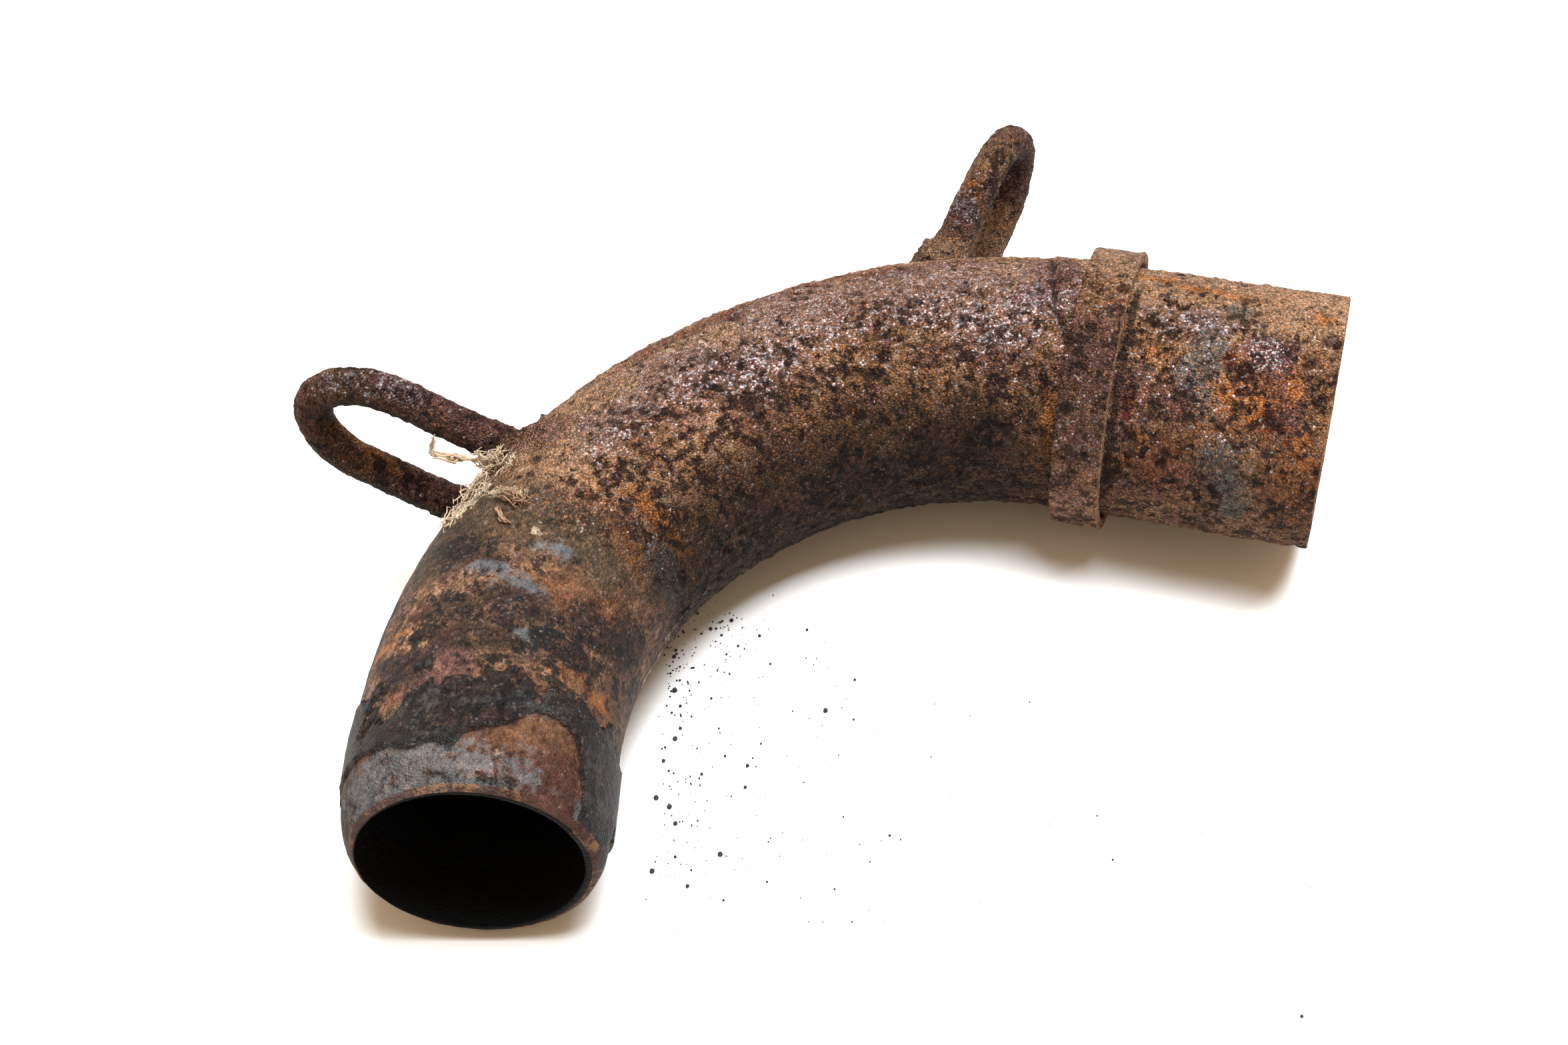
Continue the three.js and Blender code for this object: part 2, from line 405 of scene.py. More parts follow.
def emboss(piece, heights):
    """Raises and sinks the surface by these heights, painted as the weights of Displace modifiers."""
    for name, sign in (("raise", 1), ("sink", -1)):
        part = np.maximum(sign * heights, 0)
        most = float(part.max())
        group = piece.vertex_groups.new(name=name)
        for index in np.flatnonzero(part).tolist():
            group.add([index], float(part[index]) / most, "REPLACE")
        apply_modifier(piece, "DISPLACE", name, strength=sign * most, mid_level=0, vertex_group=name)
    piece.vertex_groups.clear()


def paint(piece, name, values):
    """Stores a value at each vertex for the finish to read."""
    attribute = piece.data.attributes.new(name, "FLOAT", "POINT")
    attribute.data.foreach_set("value", np.clip(values, 0, 1).astype(np.float32))


def keep_in_box(piece, node):
    """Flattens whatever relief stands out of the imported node's box, such as under the pipe."""
    low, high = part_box(node)
    set_points(piece, np.clip(points_of(piece), np.array(low), np.array(high)))


# Where each kind of patch lies on the pipe: millimetres from the stub's end, degrees round from the
# outside of the bend over the top, and its half length and half width in millimetres
PATCHES = {
    "slate": (
        (26, 109, 4, 5.5), (27, 121, 4.5, 4.5), (23, 132, 3.5, 4), (20.5, 160, 3.8, 4.5),
        (18.5, 170, 3.6, 5), (16, 182, 3, 4), (22, 86, 3, 1.6), (176, 158, 5, 7),
    ),
    "olive": (
        (187, 88, 7, 20), (190, 68, 6, 10), (190, 120, 6, 12), (198, 52, 8, 8),
    ),
    "graphite": (
        (209, 107, 4, 10), (206, 145, 5, 9), (218, 96, 3.5, 12), (200, 160, 6, 6), (224, 60, 4, 6),
        (248, 121, 3, 4), (247, 34, 5, 8), (249, 42, 3, 6), (251, 26, 4, 9), (251, 176, 4, 8),
        (250, 112, 2, 4), (199, 70, 4, 8), (212, 84, 3, 9),
    ),
    "ash": (
        (245, 76, 4, 15), (246, 54, 4.5, 9), (247, 102, 3, 9), (232, 116, 2.2, 4.5),
        (202, 86, 1.6, 6), (204, 101, 1.3, 4), (193, 112, 1.5, 4), (216, 114, 1.4, 2.2),
        (236, 152, 4, 1.6), (249, 158, 1.5, 3), (250.5, 64, 2.4, 12), (250.5, 96, 2.2, 8),
    ),
    "ochre": (
        (39, 69, 5, 1.7), (30, 73, 6, 1.6), (21, 77, 5, 1.2), (5, 85, 2.6, 1.6), (37, 116, 2.2, 2),
        (21, 131, 2.4, 3), (14.5, 134, 2.0, 3), (8, 122, 1.5, 5), (36, 155, 2, 2),
        (5, 150, 1.6, 3.4), (217, 41, 1.0, 4), (215.5, 53, 0.6, 2.5), (223, 156, 2.0, 3),
        (57, 150, 1.6, 7), (170, 146, 2.0, 8), (169, 156, 2.0, 4),
    ),
    "russet": (
        (17, 130, 8, 9), (6, 165, 5, 12), (32, 165, 7, 5), (205, 118, 4, 6), (198, 146, 4, 9),
        (221, 136, 3.4, 4.4), (224, 158, 5, 5), (170, 150, 3.4, 12), (182, 136, 3, 6),
        (230, 58, 4, 1.4), (242, 46, 6, 2.0), (118, 58, 24, 3), (86, 62, 20, 3), (238, 172, 5, 6),
    ),
    "maroon": (
        (14, 114, 7, 7), (9, 138, 5, 7), (39, 138, 3.5, 10), (31, 168, 7, 7), (60, 78, 5, 12),
        (168, 58, 5, 9), (125, 62, 9, 3), (104, 60, 6, 2.4), (90, 66, 9, 3), (140, 58, 6, 3),
        (225, 75, 6, 8), (250, 140, 4, 10),
    ),
    "ember": (
        (18, 117, 2, 2), (21.5, 113, 1.5, 1.5), (12, 137, 1.6, 2.2), (9.5, 140, 1.4, 1.4),
        (40, 139, 1.4, 3), (58.6, 140, 1.0, 4), (57.5, 99, 0.7, 2), (124, 70, 1.4, 2),
    ),
    # Where the painted glints gather
    "painted_glint_patch": (
        (85, 84, 26, 12), (112, 82, 16, 12), (140, 88, 14, 9), (158, 90, 12, 7), (62, 98, 10, 9),
        (30, 98, 9, 4), (14, 108, 5, 5), (126, 104, 12, 8), (70, 108, 12, 8),
    ),
    "mound": (
        (168.5, 50, 5, 5), (168, 62, 4, 6),
    ),
    "bare": (
        (241, 100, 5, 7), (240, 116, 6, 8), (240, 132, 7, 8), (246, 128, 4, 12), (248, 145, 3, 8),
    ),
    "lime": (
        (177, 44, 2.6, 5), (179, 30, 2.8, 6), (182, 12, 2.6, 7), (184, -4, 2.6, 7),
        (176, 54, 2.2, 3), (184, 74, 1.8, 4), (191, 98, 1.0, 2), (188, 50, 3, 2), (184, 54, 3, 2.4),
        (176, 190, 12, 1.0), (190, 197, 10, 0.9),
    ),
}


def patch_field(along, turn, patches):
    """1 in the middle of the nearest patch, 0 at its edge, and down to -1 outside."""
    result = np.full(len(along), -1.0)
    radius = outer_radius(along) / MM
    for patch_along, patch_turn, half_length, half_width in patches:
        away = (turn - patch_turn + 180) % 360 - 180
        across = np.radians(away) * radius / half_width
        result = np.maximum(result, 1 - np.hypot((along / MM - patch_along) / half_length, across))
    return result


# The flake of scale that stands by itself, given as the patches are
SCALE_FLAKE = ((215, 124, 3.4, 4.4), (216, 134, 3.4, 4.4))

# Where the black scale ends above the mouth: degrees round the pipe, and millimetres along it
SCALE_EDGE_TURN = (-180, -60, 20, 40, 53, 83, 92, 96, 107, 119, 131, 142, 149, 156, 170, 180)
SCALE_EDGE_ALONG = (244, 240, 240, 240, 241, 243, 243, 239.5, 239, 234, 232, 234, 243, 252, 253, 248)


# The bent pipe


def ring_list():
    """The rings outside and inside, as (length along, radius, shift to the inside of the bend)."""
    pipe = sizes().pipe
    start = pipe_length() - pipe.shoulder
    rim = 0.5 * MM
    outside = [(0, pipe.pipe_radius, 0), (rim, pipe.pipe_radius, 0), (pipe.stub, pipe.pipe_radius, 0)]
    outside.append((start, pipe.leg_radius, 0))
    inside = [(along, radius - pipe.wall, shift) for along, radius, shift in outside]
    steps = 6
    full_drop = 1 - math.cos(pipe.shoulder_turn)
    for step in range(1, steps + 1):
        turn = pipe.shoulder_turn * step / steps
        drop = (1 - math.cos(turn)) / full_drop
        along = start + pipe.shoulder * math.sin(turn) / math.sin(pipe.shoulder_turn)
        share = float(ease(np.array(along), start, pipe_length()))
        mouth_outside = pipe.mouth_radius + pipe.mouth_rim
        radius = pipe.leg_radius + drop * (mouth_outside - pipe.leg_radius)
        outside.append((along, radius, pipe.mouth_offset * share))
        leg_inside = pipe.leg_radius - pipe.wall
        inside.append((along, leg_inside + drop * (pipe.mouth_radius - leg_inside), 0))
    return outside, inside[::-1]


def straight_pipe():
    """The pipe before it is bent: one ring pulled along the outside, in at the mouth and back."""
    pipe = sizes().pipe
    outside, inside = ring_list()
    piece = pulled_ring(pipe.sides, outside + inside)
    piece.vertex_groups.new(name="outside")
    bend_start, shoulder_start = pipe.stub, pipe_length() - pipe.shoulder
    with editing(piece) as mesh:
        weights = mesh.verts.layers.deform.verify()
        for index, vertex in enumerate(mesh.verts):
            vertex[weights][0] = 1.0 if index // pipe.sides < len(outside) else 0.0
        close_sleeve(piece, mesh)
        for start, end, outer, gap in (
            (0, bend_start, True, 2.95),
            (bend_start, shoulder_start, True, 2.85),
            (0, bend_start, False, 16),
            (bend_start, shoulder_start, False, 14),
        ):
            middle = (start + end) / 2

            def runs_along(edge):
                first, second = (vertex.co for vertex in edge.verts)
                limit = outer_radius(middle) - pipe.wall / 2
                if abs((first.x + second.x) / 2 - middle) > 2 * MM or abs(first.x - second.x) < 10 * MM:
                    return False
                return (math.hypot(first.y, first.z) > limit) == outer

            select_where(piece, mesh, "EDGE", runs_along)
            cuts = round((end - start) / (gap * MM)) - 1
            bpy.ops.mesh.subdivide(number_cuts=cuts, smoothness=0)
    return piece


def weights_of(piece):
    """The weight of the piece's first vertex group at each vertex."""
    return np.array([vertex.groups[0].weight if vertex.groups else 0.0 for vertex in piece.data.vertices])


def bend_line():
    """The curve that the straight pipe is bent to: the stub, the bend and the leg."""
    pipe = sizes().pipe
    line = added(bpy.ops.curve.primitive_bezier_curve_add)
    line.matrix_world = Matrix.Identity(4)
    line.data.dimensions = "2D"
    line.data.resolution_u = 64
    arcs = 4
    spline = line.data.splines[0]
    stations = [0] + [pipe.stub + bend_length() * step / arcs for step in range(arcs + 1)]
    stations.append(pipe_length())
    spline.bezier_points.add(len(stations) - 2)
    pull = 4 / 3 * math.tan(pipe.bend_angle / arcs / 4) * pipe.bend_radius
    straight_pull = 5 * MM
    for index, (point, along) in enumerate(zip(spline.bezier_points, stations)):
        centre, _, forward = pipe_frame(along)
        point.handle_left_type = point.handle_right_type = "FREE"
        before = pull if index > 1 else straight_pull
        after = pull if 0 < index < len(stations) - 2 else straight_pull
        point.co = centre
        point.handle_left = centre - forward * before
        point.handle_right = centre + forward * after
    return line


def pipe_fields(points, along, turn):
    """How far inside each kind of patch a point of the pipe's outside lies: 0 is the patch's edge."""
    ragged = 0.45 * wander(points, 5 * MM, 3, 11)
    fields = {name: patch_field(along, turn, patches) + ragged for name, patches in PATCHES.items()}
    edge = np.interp(turn, SCALE_EDGE_TURN, SCALE_EDGE_ALONG)
    edge = edge + 1.1 * wander(points, 3.2 * MM, 3, 12)
    start = 229 + 9 * wander(points, 8 * MM, 4, 13)
    fields["scale"] = np.minimum((edge - along / MM) / 3, (along / MM - start) / 5)
    fields["flake"] = patch_field(along, turn, SCALE_FLAKE) + 0.4 * ragged
    return fields


def pipe_relief(points, along, turn, fields, crust):
    """Heights of the crust, pits, plates and ridges on the outside of the pipe, in metres."""
    # Crust and pits
    broad = wander(points, 12 * MM, 2, 1)
    lumps = wander(points, 3.2 * MM, 3, 2)
    nodules = ease(0.62 - cells(points, 2.3 * MM, 6), 0, 0.6)
    rough = ease(wander(points, 9 * MM, 2, 4), -0.2, 0.3)
    pits = ease(0.5 - cells(points, 3.0 * MM, 3), 0, 0.4) * rough
    small_pits = ease(0.5 - cells(points, 1.9 * MM, 5), 0, 0.4)
    height = 0.14 * broad + (0.1 + 0.2 * crust) * lumps + 0.34 * crust * (nodules - 0.5)
    height -= (0.12 + 0.45 * crust) * pits + (0.03 + 0.12 * crust) * small_pits
    # Plates, bare skin, deep pits, residue and the mound of dirt
    height += 0.75 * ease(fields["scale"], -0.07, 0.07) + 0.4 * ease(fields["flake"], -0.05, 0.15)
    height -= 0.15 * ease(fields["bare"], -0.1, 0.3)
    height -= 0.3 * ease(fields["ember"], -0.2, 0.5)
    height += ease(fields["lime"], -0.1, 0.5) * (0.3 + 0.9 * lumps)
    height += 1.6 * ease(fields["mound"], -0.2, 0.8) * (0.8 + 0.6 * lumps)
    # The ridge low on the bend's start, and the seam above it with its filled side
    ridge_line = 58.8 + 0.9 * wander(points, 6 * MM, 2, 14)
    ridge = ease(1 - np.abs(along / MM - ridge_line) / 2.4, 0, 0.8)
    ridge *= ease(turn, 112, 126) * (1 - ease(turn, 164, 178))
    height += ridge * (0.35 + 0.7 * lumps)
    seam_line = np.interp(turn, (40, 62, 80, 92, 100, 112), (61.5, 60.5, 59.7, 59.2, 58.6, 55.2))
    seam_line += 0.5 * wander(points, 4 * MM, 3, 15)
    seam = ease(1 - np.abs(along / MM - seam_line) / 1.2, 0, 0.8)
    groove = seam * ease(turn, 48, 66) * (1 - ease(turn, 112, 120))
    filled = ease(seam_line - along / MM, -0.3, 0.8) * ease(turn, 40, 60) * (1 - ease(turn, 104, 114))
    filled *= ease(along, 40 * MM, 53 * MM)
    height += 0.75 * filled - 0.8 * groove
    return (height - 0.15) * MM


class CORRODEDPIPE_OT_bend_pipe(bpy.types.Operator):
    """Models the bent pipe with its rolled-in mouth, crust, pits and scale"""

    bl_idname = "corroded_pipe.bend_pipe"
    bl_label = "Bent pipe"

    def execute(self, context):
        pipe = sizes().pipe
        piece = straight_pipe()
        apply_modifier(piece, "SUBSURF", "smooth", levels=2, render_levels=2)
        outside = weights_of(piece)
        piece.vertex_groups.clear()
        straight = points_of(piece)
        along = straight[:, 0].copy()
        turn = np.degrees(np.arctan2(straight[:, 2], -straight[:, 1]))
        lean = math.tan(pipe.slant_up) * straight[:, 2] - math.tan(pipe.slant_across) * straight[:, 1]
        straight[:, 0] += lean * ease(along, pipe_length() - pipe.slant_reach, pipe_length())
        set_points(piece, straight)
        line = bend_line()
        apply_modifier(piece, "CURVE", "bend", object=line, deform_axis="POS_X")
        remove(line)
        apply_place(piece, rest_place())
        points = points_of(piece)
        fields = pipe_fields(points, along, turn)
        crust_fades, crust_ends = 172, 196
        crust = 1 - ease(along / MM + 9 * wander(points, 14 * MM, 3, 16), crust_fades, crust_ends)
        heights = pipe_relief(points, along, turn, fields, crust) * ease(outside, 0.4, 1)
        heights += (1 - outside) * 0.1 * MM * (wander(points, 5 * MM, 3, 21) - 0.5)
        emboss(piece, heights)
        keep_in_box(piece, "bend_pipe")
        for name, values in fields.items():
            if name != "mound":
                paint(piece, name, 0.5 + 0.5 * values)
        paint(piece, "crust", 0.25 + 0.75 * crust)
        # Painted shade: the sunk relief and the crevice beside the band are painted near black.
        beside_band = 42.3
        crevice = ease(1 - np.abs(along / MM - beside_band) / 1.2, 0, 0.6) * ease(turn, 70, 90)
        paint(piece, "deep", np.maximum(ease(-heights, 0.25 * MM, 0.75 * MM), crevice) * outside)
        # Wear and a painted highlight: a light tan line along part of the stub's cut edge.
        paint(piece, "worn", ease(0.45 * MM - along, 0, 0.1 * MM) * outside * ease(turn, 110, 150))
        paint(piece, "rim", ease(along, pipe_length() - 1.6 * MM, pipe_length() - 0.7 * MM))
        at_mouth = along > pipe_length() / 2
        # The inner wall is painted black, starting further in at the stub's end than at the mouth.
        black_starts, black_full = np.where(at_mouth, 0.1, 0.7), np.where(at_mouth, 0.4, 1)
        paint(piece, "inside", ease(1 - outside, black_starts, black_full))
        # Painted shade: darker from just past the top round the inner side and underneath, weaker on the stub
        # and the smoother leg.
        painted_shade = ease(turn, 96, 178) + ease(-turn, -20, 20)
        painted_shade = np.minimum(painted_shade, 1) * (0.5 + 0.5 * crust)
        paint(piece, "painted_shade", painted_shade * (0.45 + 0.55 * ease(along, 45 * MM, 80 * MM)))
        # Dust with painted light: the upper side near the top is laid tan and kept calmer.
        paint(piece, "dust_and_top_light", 1 - ease(np.abs(turn - 58), 22, 50) * (0.3 + 0.7 * crust))
        finish_piece(piece, "rusted_pipe", "bend_pipe", rust_finish("Pipe rust"))
        return {"FINISHED"}


# The band


class CORRODEDPIPE_OT_band(bpy.types.Operator):
    """Models the flat band round the stub"""

    bl_idname = "corroded_pipe.band"
    bl_label = "Band"

    def execute(self, context):
        band, pipe = sizes().band, sizes().pipe
        inner = pipe.pipe_radius + band.clearance
        outer = inner + band.thickness
        corner = 0.35 * MM
        middle = (inner + outer) / 2
        strips = 6
        profile = [(0, inner), (0, middle), (0, outer - corner), (corner, outer)]
        profile += [(band.width * strip / strips, outer) for strip in range(1, strips)]
        profile += [(band.width - corner, outer), (band.width, outer - corner)]
        profile += [(band.width, middle), (band.width, inner), (band.width / 2, inner)]
        piece = pulled_ring(band.sides, [(along, radius, 0) for along, radius in profile])
        with editing(piece) as mesh:
            close_sleeve(piece, mesh)
        apply_modifier(piece, "SUBSURF", "smooth", levels=2, render_levels=2)
        straight = points_of(piece)
        turn = np.degrees(np.arctan2(straight[:, 2], straight[:, 1]))
        far_edge = pipe.stub - band.from_end - band.width
        apply_place(piece, rest_place() @ Matrix.Translation((far_edge, pipe.bend_radius, 0)))
        points = points_of(piece)
        lumps = wander(points, 2.6 * MM, 3, 31)
        pits = ease(0.5 - cells(points, 1.9 * MM, 32), 0, 0.4)
        facing_us = ease(turn, 95, 115) * (1 - ease(turn, 160, 172))
        big_pits = ease(0.5 - cells(points, 4.2 * MM, 33), 0, 0.3) * (0.25 + 0.75 * facing_us)
        from_middle = np.hypot(straight[:, 1], straight[:, 2])
        outside = ease(from_middle, inner, inner + 0.6 * band.thickness)
        worn = wander(points, 12 * MM, 2, 34)
        lip = ease(straight[:, 0], band.width - 1.3 * MM, band.width - 0.4 * MM)
        edge = ease(straight[:, 0], band.width - 0.5 * MM, band.width - 0.2 * MM)
        heights = 0.16 * lumps - 0.2 * pits - 0.5 * big_pits + 0.14 * worn - 0.32 * (1 - lip) - 0.1
        heights *= MM * outside
        emboss(piece, heights)
        keep_in_box(piece, "band")
        # Painted shade in the band's sunk pits.
        paint(piece, "deep", ease(-heights, 0.55 * MM, 0.95 * MM))
        paint(piece, "crust", np.full(len(points), 0.9))
        paint(piece, "maroon", 0.3 + 0.25 * facing_us)
        # Painted shade: the band is darker from just past its top down its inner side.
        paint(piece, "painted_shade", 0.15 + 0.4 * ease(turn, 95, 130) - 0.3 * ease(turn, 140, 175))
        # Dust with painted light on the band's top.
        paint(piece, "dust_and_top_light", (1 - ease(turn, 75, 105)) * ease(turn, -20, 10))
        # Wear and a painted highlight: a light tan line on the band's lip.
        paint(piece, "worn", 0.6 * edge)
        # Painted glints, thinly over the whole band.
        paint(piece, "painted_glint_patch", np.full(len(points), 0.4))
        finish_piece(piece, "rusted_band", "band", rust_finish("Band rust"))
        return {"FINISHED"}


# The hanger loops


class Hanger(NamedTuple):
    """Where a loop stands and how it leans, in degrees, with its weld in millimetres."""

    node: str
    along_bend: float
    round_pipe: float
    lean_along: float
    lean_round: float
    twist: float
    weld_radius: float
    weld_height: float


HANGERS = (
    Hanger("front_loop", 73.2, 17.2, 20.2, -15.8, 82.7, 4.9, 4),
    Hanger("rear_loop", 17, 6.7, -29, -18.5, 90.8, 7.0, 5),
)


def hanger_place(hanger):
    """The loop's foot on the pipe, the direction of its legs and the direction of its width."""
    pipe = sizes().pipe
    along = pipe.stub + math.radians(hanger.along_bend) * pipe.bend_radius
    centre, outward, forward = pipe_frame(along)
    round_pipe = math.radians(hanger.round_pipe)
    normal = outward * math.cos(round_pipe) + Vector((0, 0, 1)) * math.sin(round_pipe)
    around = forward.cross(normal)
    foot = centre + normal * pipe.pipe_radius
    upwards = normal + forward * math.tan(math.radians(hanger.lean_along))
    upwards += around * math.tan(math.radians(hanger.lean_round))
    upwards.normalize()
    twist = math.radians(hanger.twist)
    sideways = forward * math.cos(twist) + around * math.sin(twist)
    sideways -= upwards * sideways.dot(upwards)
    return foot, upwards, sideways.normalized()


def bar_loop(foot, upwards, sideways):
    """The bent bar: a curve up one leg, over the cap and down the other, made a mesh."""
    loops = sizes().loops
    straight = loops.reach - loops.cap_depth
    bow = 4 / 3 * (math.sqrt(2) - 1)
    line = added(bpy.ops.curve.primitive_bezier_curve_add)
    line.matrix_world = Matrix.Identity(4)
    line.data.dimensions = "3D"
    line.data.resolution_u = 16
    line.data.bevel_depth = loops.bar_radius
    line.data.bevel_resolution = 6
    line.data.use_fill_caps = True
    spline = line.data.splines[0]
    spline.bezier_points.add(3)
    side, cap = loops.half_width, loops.cap_depth
    knots = [
        (side, -loops.buried, (0, 1)),
        (side, straight, (0, 1)),
        (0, straight + cap, (-1, 0)),
        (-side, straight, (0, -1)),
        (-side, -loops.buried, (0, -1)),
    ]
    pulls = (4 * MM, cap * bow, side * bow, cap * bow, 4 * MM)
    for point, (across, height, way), pull in zip(spline.bezier_points, knots, pulls):
        place = foot + sideways * across + upwards * height
        direction = sideways * way[0] + upwards * way[1]
        point.handle_left_type = point.handle_right_type = "FREE"
        point.co = place
        point.handle_left = place - direction * pull
        point.handle_right = place + direction * pull
    bpy.ops.object.convert(target="MESH")
    return bpy.context.active_object


def surface_height(foot, upwards):
    """How far up a leg the pipe's surface lies."""
    pipe = sizes().pipe
    height = sizes().loops.reach / 2
    step = 0.1 * MM
    while True:
        point = foot + upwards * height
        if math.hypot(math.hypot(point.x, point.y) - pipe.bend_radius, point.z) < pipe.pipe_radius:
            return height
        height -= step


def add_welds(piece, hanger, foot, upwards, sideways, dice):
    """A cone of weld round both feet with lumps sunk into it, joined to the bar."""
    loops = sizes().loops
    spread, tall = hanger.weld_radius * MM, hanger.weld_height * MM
    tilt = upwards.to_track_quat("Z", "Y").to_euler()
    buried = loops.buried / 2
    bead_top, overlap, lump_count = 4 * MM, 0.4 * MM, 16
    lumps = []
    for side in (1, -1):
        leg = foot + sideways * loops.half_width * side
        base = leg + upwards * surface_height(leg, upwards)
        sunk_cone = (spread, 0.9 * spread, -buried, 0)
        bead_cone = (0.94 * spread, bead_top, 0, tall)
        for reach, top, low, high in (sunk_cone, bead_cone):
            cone = added(
                bpy.ops.mesh.primitive_cone_add,
                vertices=32,
                radius1=reach,
                radius2=top,
                depth=high - low + overlap,
                location=base + upwards * (low + high) / 2,
                rotation=tilt,
            )
            lumps.append(cone)
        across = sideways.cross(upwards)
        for _ in range(lump_count):
            turn = dice.uniform(0, 2 * math.pi)
            out = sideways * math.cos(turn) + across * math.sin(turn)
            height = dice.uniform(-0.1, 0.8)
            reach = spread * (0.86 - 0.42 * max(0, height))
            lump = added(
                bpy.ops.mesh.primitive_ico_sphere_add,
                subdivisions=2,
                radius=dice.uniform(0.7, 1.5) * MM,
                location=base + out * reach + upwards * (height * tall),
            )
            lumps.append(lump)
    joined([piece, *lumps])


def streak_field(points, streaks):
    """1 on the line of the nearest streak, 0 at its edge and lower outside, in the part's frame."""
    result = np.full(len(points), -1.0)
    for start, end, width in streaks:
        start, end = np.array(start) * MM, np.array(end) * MM
        run = end - start
        share = np.clip((points - start) @ run / max(run @ run, 1e-12), 0, 1)
        distance = np.linalg.norm(points - start - share[:, None] * run, axis=1)
        result = np.maximum(result, 1 - distance / (width * MM))
    return result


# Marks on the loops: each runs from one point to another in millimetres, with its half width
STREAKS = {
    "front_loop": {
        "ochre": [
            ((-95, -17.6, 43.5), (-91, -16.4, 37.5), 1.3),
            ((-91, -16.4, 37.5), (-84, -18.6, 34.6), 1.5),
        ],
        # A painted highlight of glints along the loop's top.
        "painted_glint_patch": [((-92, -20.6, 60), (-76, -16.6, 58), 3.4)],
        "russet": [((-99, -22, 54), (-101, -23, 46), 3)],
        "maroon": [((-76, -17, 57), (-62, -14, 50), 5), ((-84, -18, 33), (-72, -18, 27), 4)],
    },
    "rear_loop": {
        "ochre": [((15.5, 76, 53.8), (18, 76, 53), 1.6)],
        "slate": [((15, 73, 52.4), (18, 71.5, 51.6), 1.8)],
        # Painted glints beside the slate mark.
        "painted_glint_patch": [((14.6, 73.6, 52.8), (17.8, 70.6, 51.0), 3)],
        "ember": [((24.4, 96, 47.6), (24.2, 97.4, 42), 0.8)],
        "maroon": [((24.4, 97, 50), (24.2, 98, 40), 5), ((17, 70, 50), (15, 68, 50), 4)],
        # Tan dust with painted light on the loop.
        "dust_and_top_light": [((12, 59, 50), (20, 66, 46), 5), ((19, 88, 32), (23, 84, 28), 4)],
    },
}


def cutting_core():
    """The pipe as a full bar, slightly thinner than the pipe, which the loops' feet are cut to."""
    pipe = sizes().pipe
    sunk = 0.9 * MM
    core = added(
        bpy.ops.mesh.primitive_cylinder_add,
        vertices=64,
        radius=pipe.pipe_radius - sunk,
        depth=pipe_length(),
        location=(pipe_length() / 2, 0, 0),
        rotation=(0, math.pi / 2, 0),
    )
    bpy.ops.object.transform_apply(location=True, rotation=True, scale=True)
    with editing(core) as mesh:
        long_edge = pipe_length() / 2
        select_where(
            core, mesh, "EDGE", lambda edge: abs(edge.verts[0].co.x - edge.verts[1].co.x) > long_edge
        )
        bpy.ops.mesh.subdivide(number_cuts=60, smoothness=0)
    line = bend_line()
    apply_modifier(core, "CURVE", "bend", object=line, deform_axis="POS_X")
    remove(line)
    set_points(core, np.array([tapered(point) for point in points_of(core)]))
    return core


def tapered(point):
    """The core's point drawn in towards the middle line, as the pipe narrows along the bend."""
    pipe = sizes().pipe
    turned = math.atan2(point[1], point[0]) % (2 * math.pi) - math.pi / 2
    if point[0] > 0 and point[1] > 0:
        return point
    along = pipe.stub + min(turned, pipe.bend_angle) * pipe.bend_radius
    ratio = float(outer_radius(along)) / pipe.pipe_radius
    distance = math.hypot(point[0], point[1])
    drawn = pipe.bend_radius + (distance - pipe.bend_radius) * ratio
    return np.array([point[0] * drawn / distance, point[1] * drawn / distance, point[2] * ratio])


def facing_down(piece):
    """How much each vertex faces down, from 0 for level or up to 1 for straight down."""
    normals = np.array([tuple(normal.vector) for normal in piece.data.vertex_normals])
    return np.clip(-normals[:, 2] + 0.3, 0, 1)


class CORRODEDPIPE_OT_hanger_loops(bpy.types.Operator):
    """Models both hanger loops of bent bar with their welds"""

    bl_idname = "corroded_pipe.hanger_loops"
    bl_label = "Hanger loops"

    def execute(self, context):
        loops = sizes().loops
        dice = Random(11)
        core = cutting_core()
        finish = rust_finish("Bar rust")
        for number, hanger in enumerate(HANGERS):
            foot, upwards, sideways = hanger_place(hanger)
            piece = bar_loop(foot, upwards, sideways)
            add_welds(piece, hanger, foot, upwards, sideways, dice)
            apply_modifier(piece, "REMESH", "fuse", mode="VOXEL", voxel_size=loops.grain)
            apply_modifier(piece, "SMOOTH", "soften", factor=0.5, iterations=2)
            apply_modifier(piece, "BOOLEAN", "seat", operation="DIFFERENCE", object=core, solver="EXACT")
            points = points_of(piece)
            lumps = wander(points, 2.2 * MM, 3, 41 + number)
            broad = wander(points, 9 * MM, 2, 43 + number)
            pits = ease(0.5 - cells(points, 1.8 * MM, 45 + number), 0, 0.4)
            leg_height = (points - np.array(foot)) @ np.array(upwards)
            near_weld = 1 - ease(leg_height, 3 * MM, 9 * MM)
            nodules = ease(0.62 - cells(points, 1.2 * MM, 49 + number), 0, 0.6)
            heights = 0.16 * broad + (0.2 + 0.3 * near_weld) * lumps - (0.2 + 0.2 * near_weld) * pits
            heights = (heights + 0.16 * (nodules - 0.5) - 0.04) * MM
            emboss(piece, heights)
            apply_place(piece, rest_place())
            keep_in_box(piece, hanger.node)
            points = points_of(piece)
            ragged = 0.5 * wander(points, 3.5 * MM, 3, 47 + number)
            for name, streaks in STREAKS[hanger.node].items():
                paint(piece, name, 0.5 + 0.5 * (streak_field(points, streaks) + ragged))
            paint(piece, "crust", np.full(len(points), 0.95))
            # Painted shade: each loop is darker overall and darker again where it faces down.
            dark = 0.56 if hanger.node == "front_loop" else 0.45
            paint(piece, "painted_shade", dark + 0.5 * facing_down(piece))
            finish_piece(piece, "rusted_" + hanger.node, hanger.node, finish)
        remove(core)
        return {"FINISHED"}


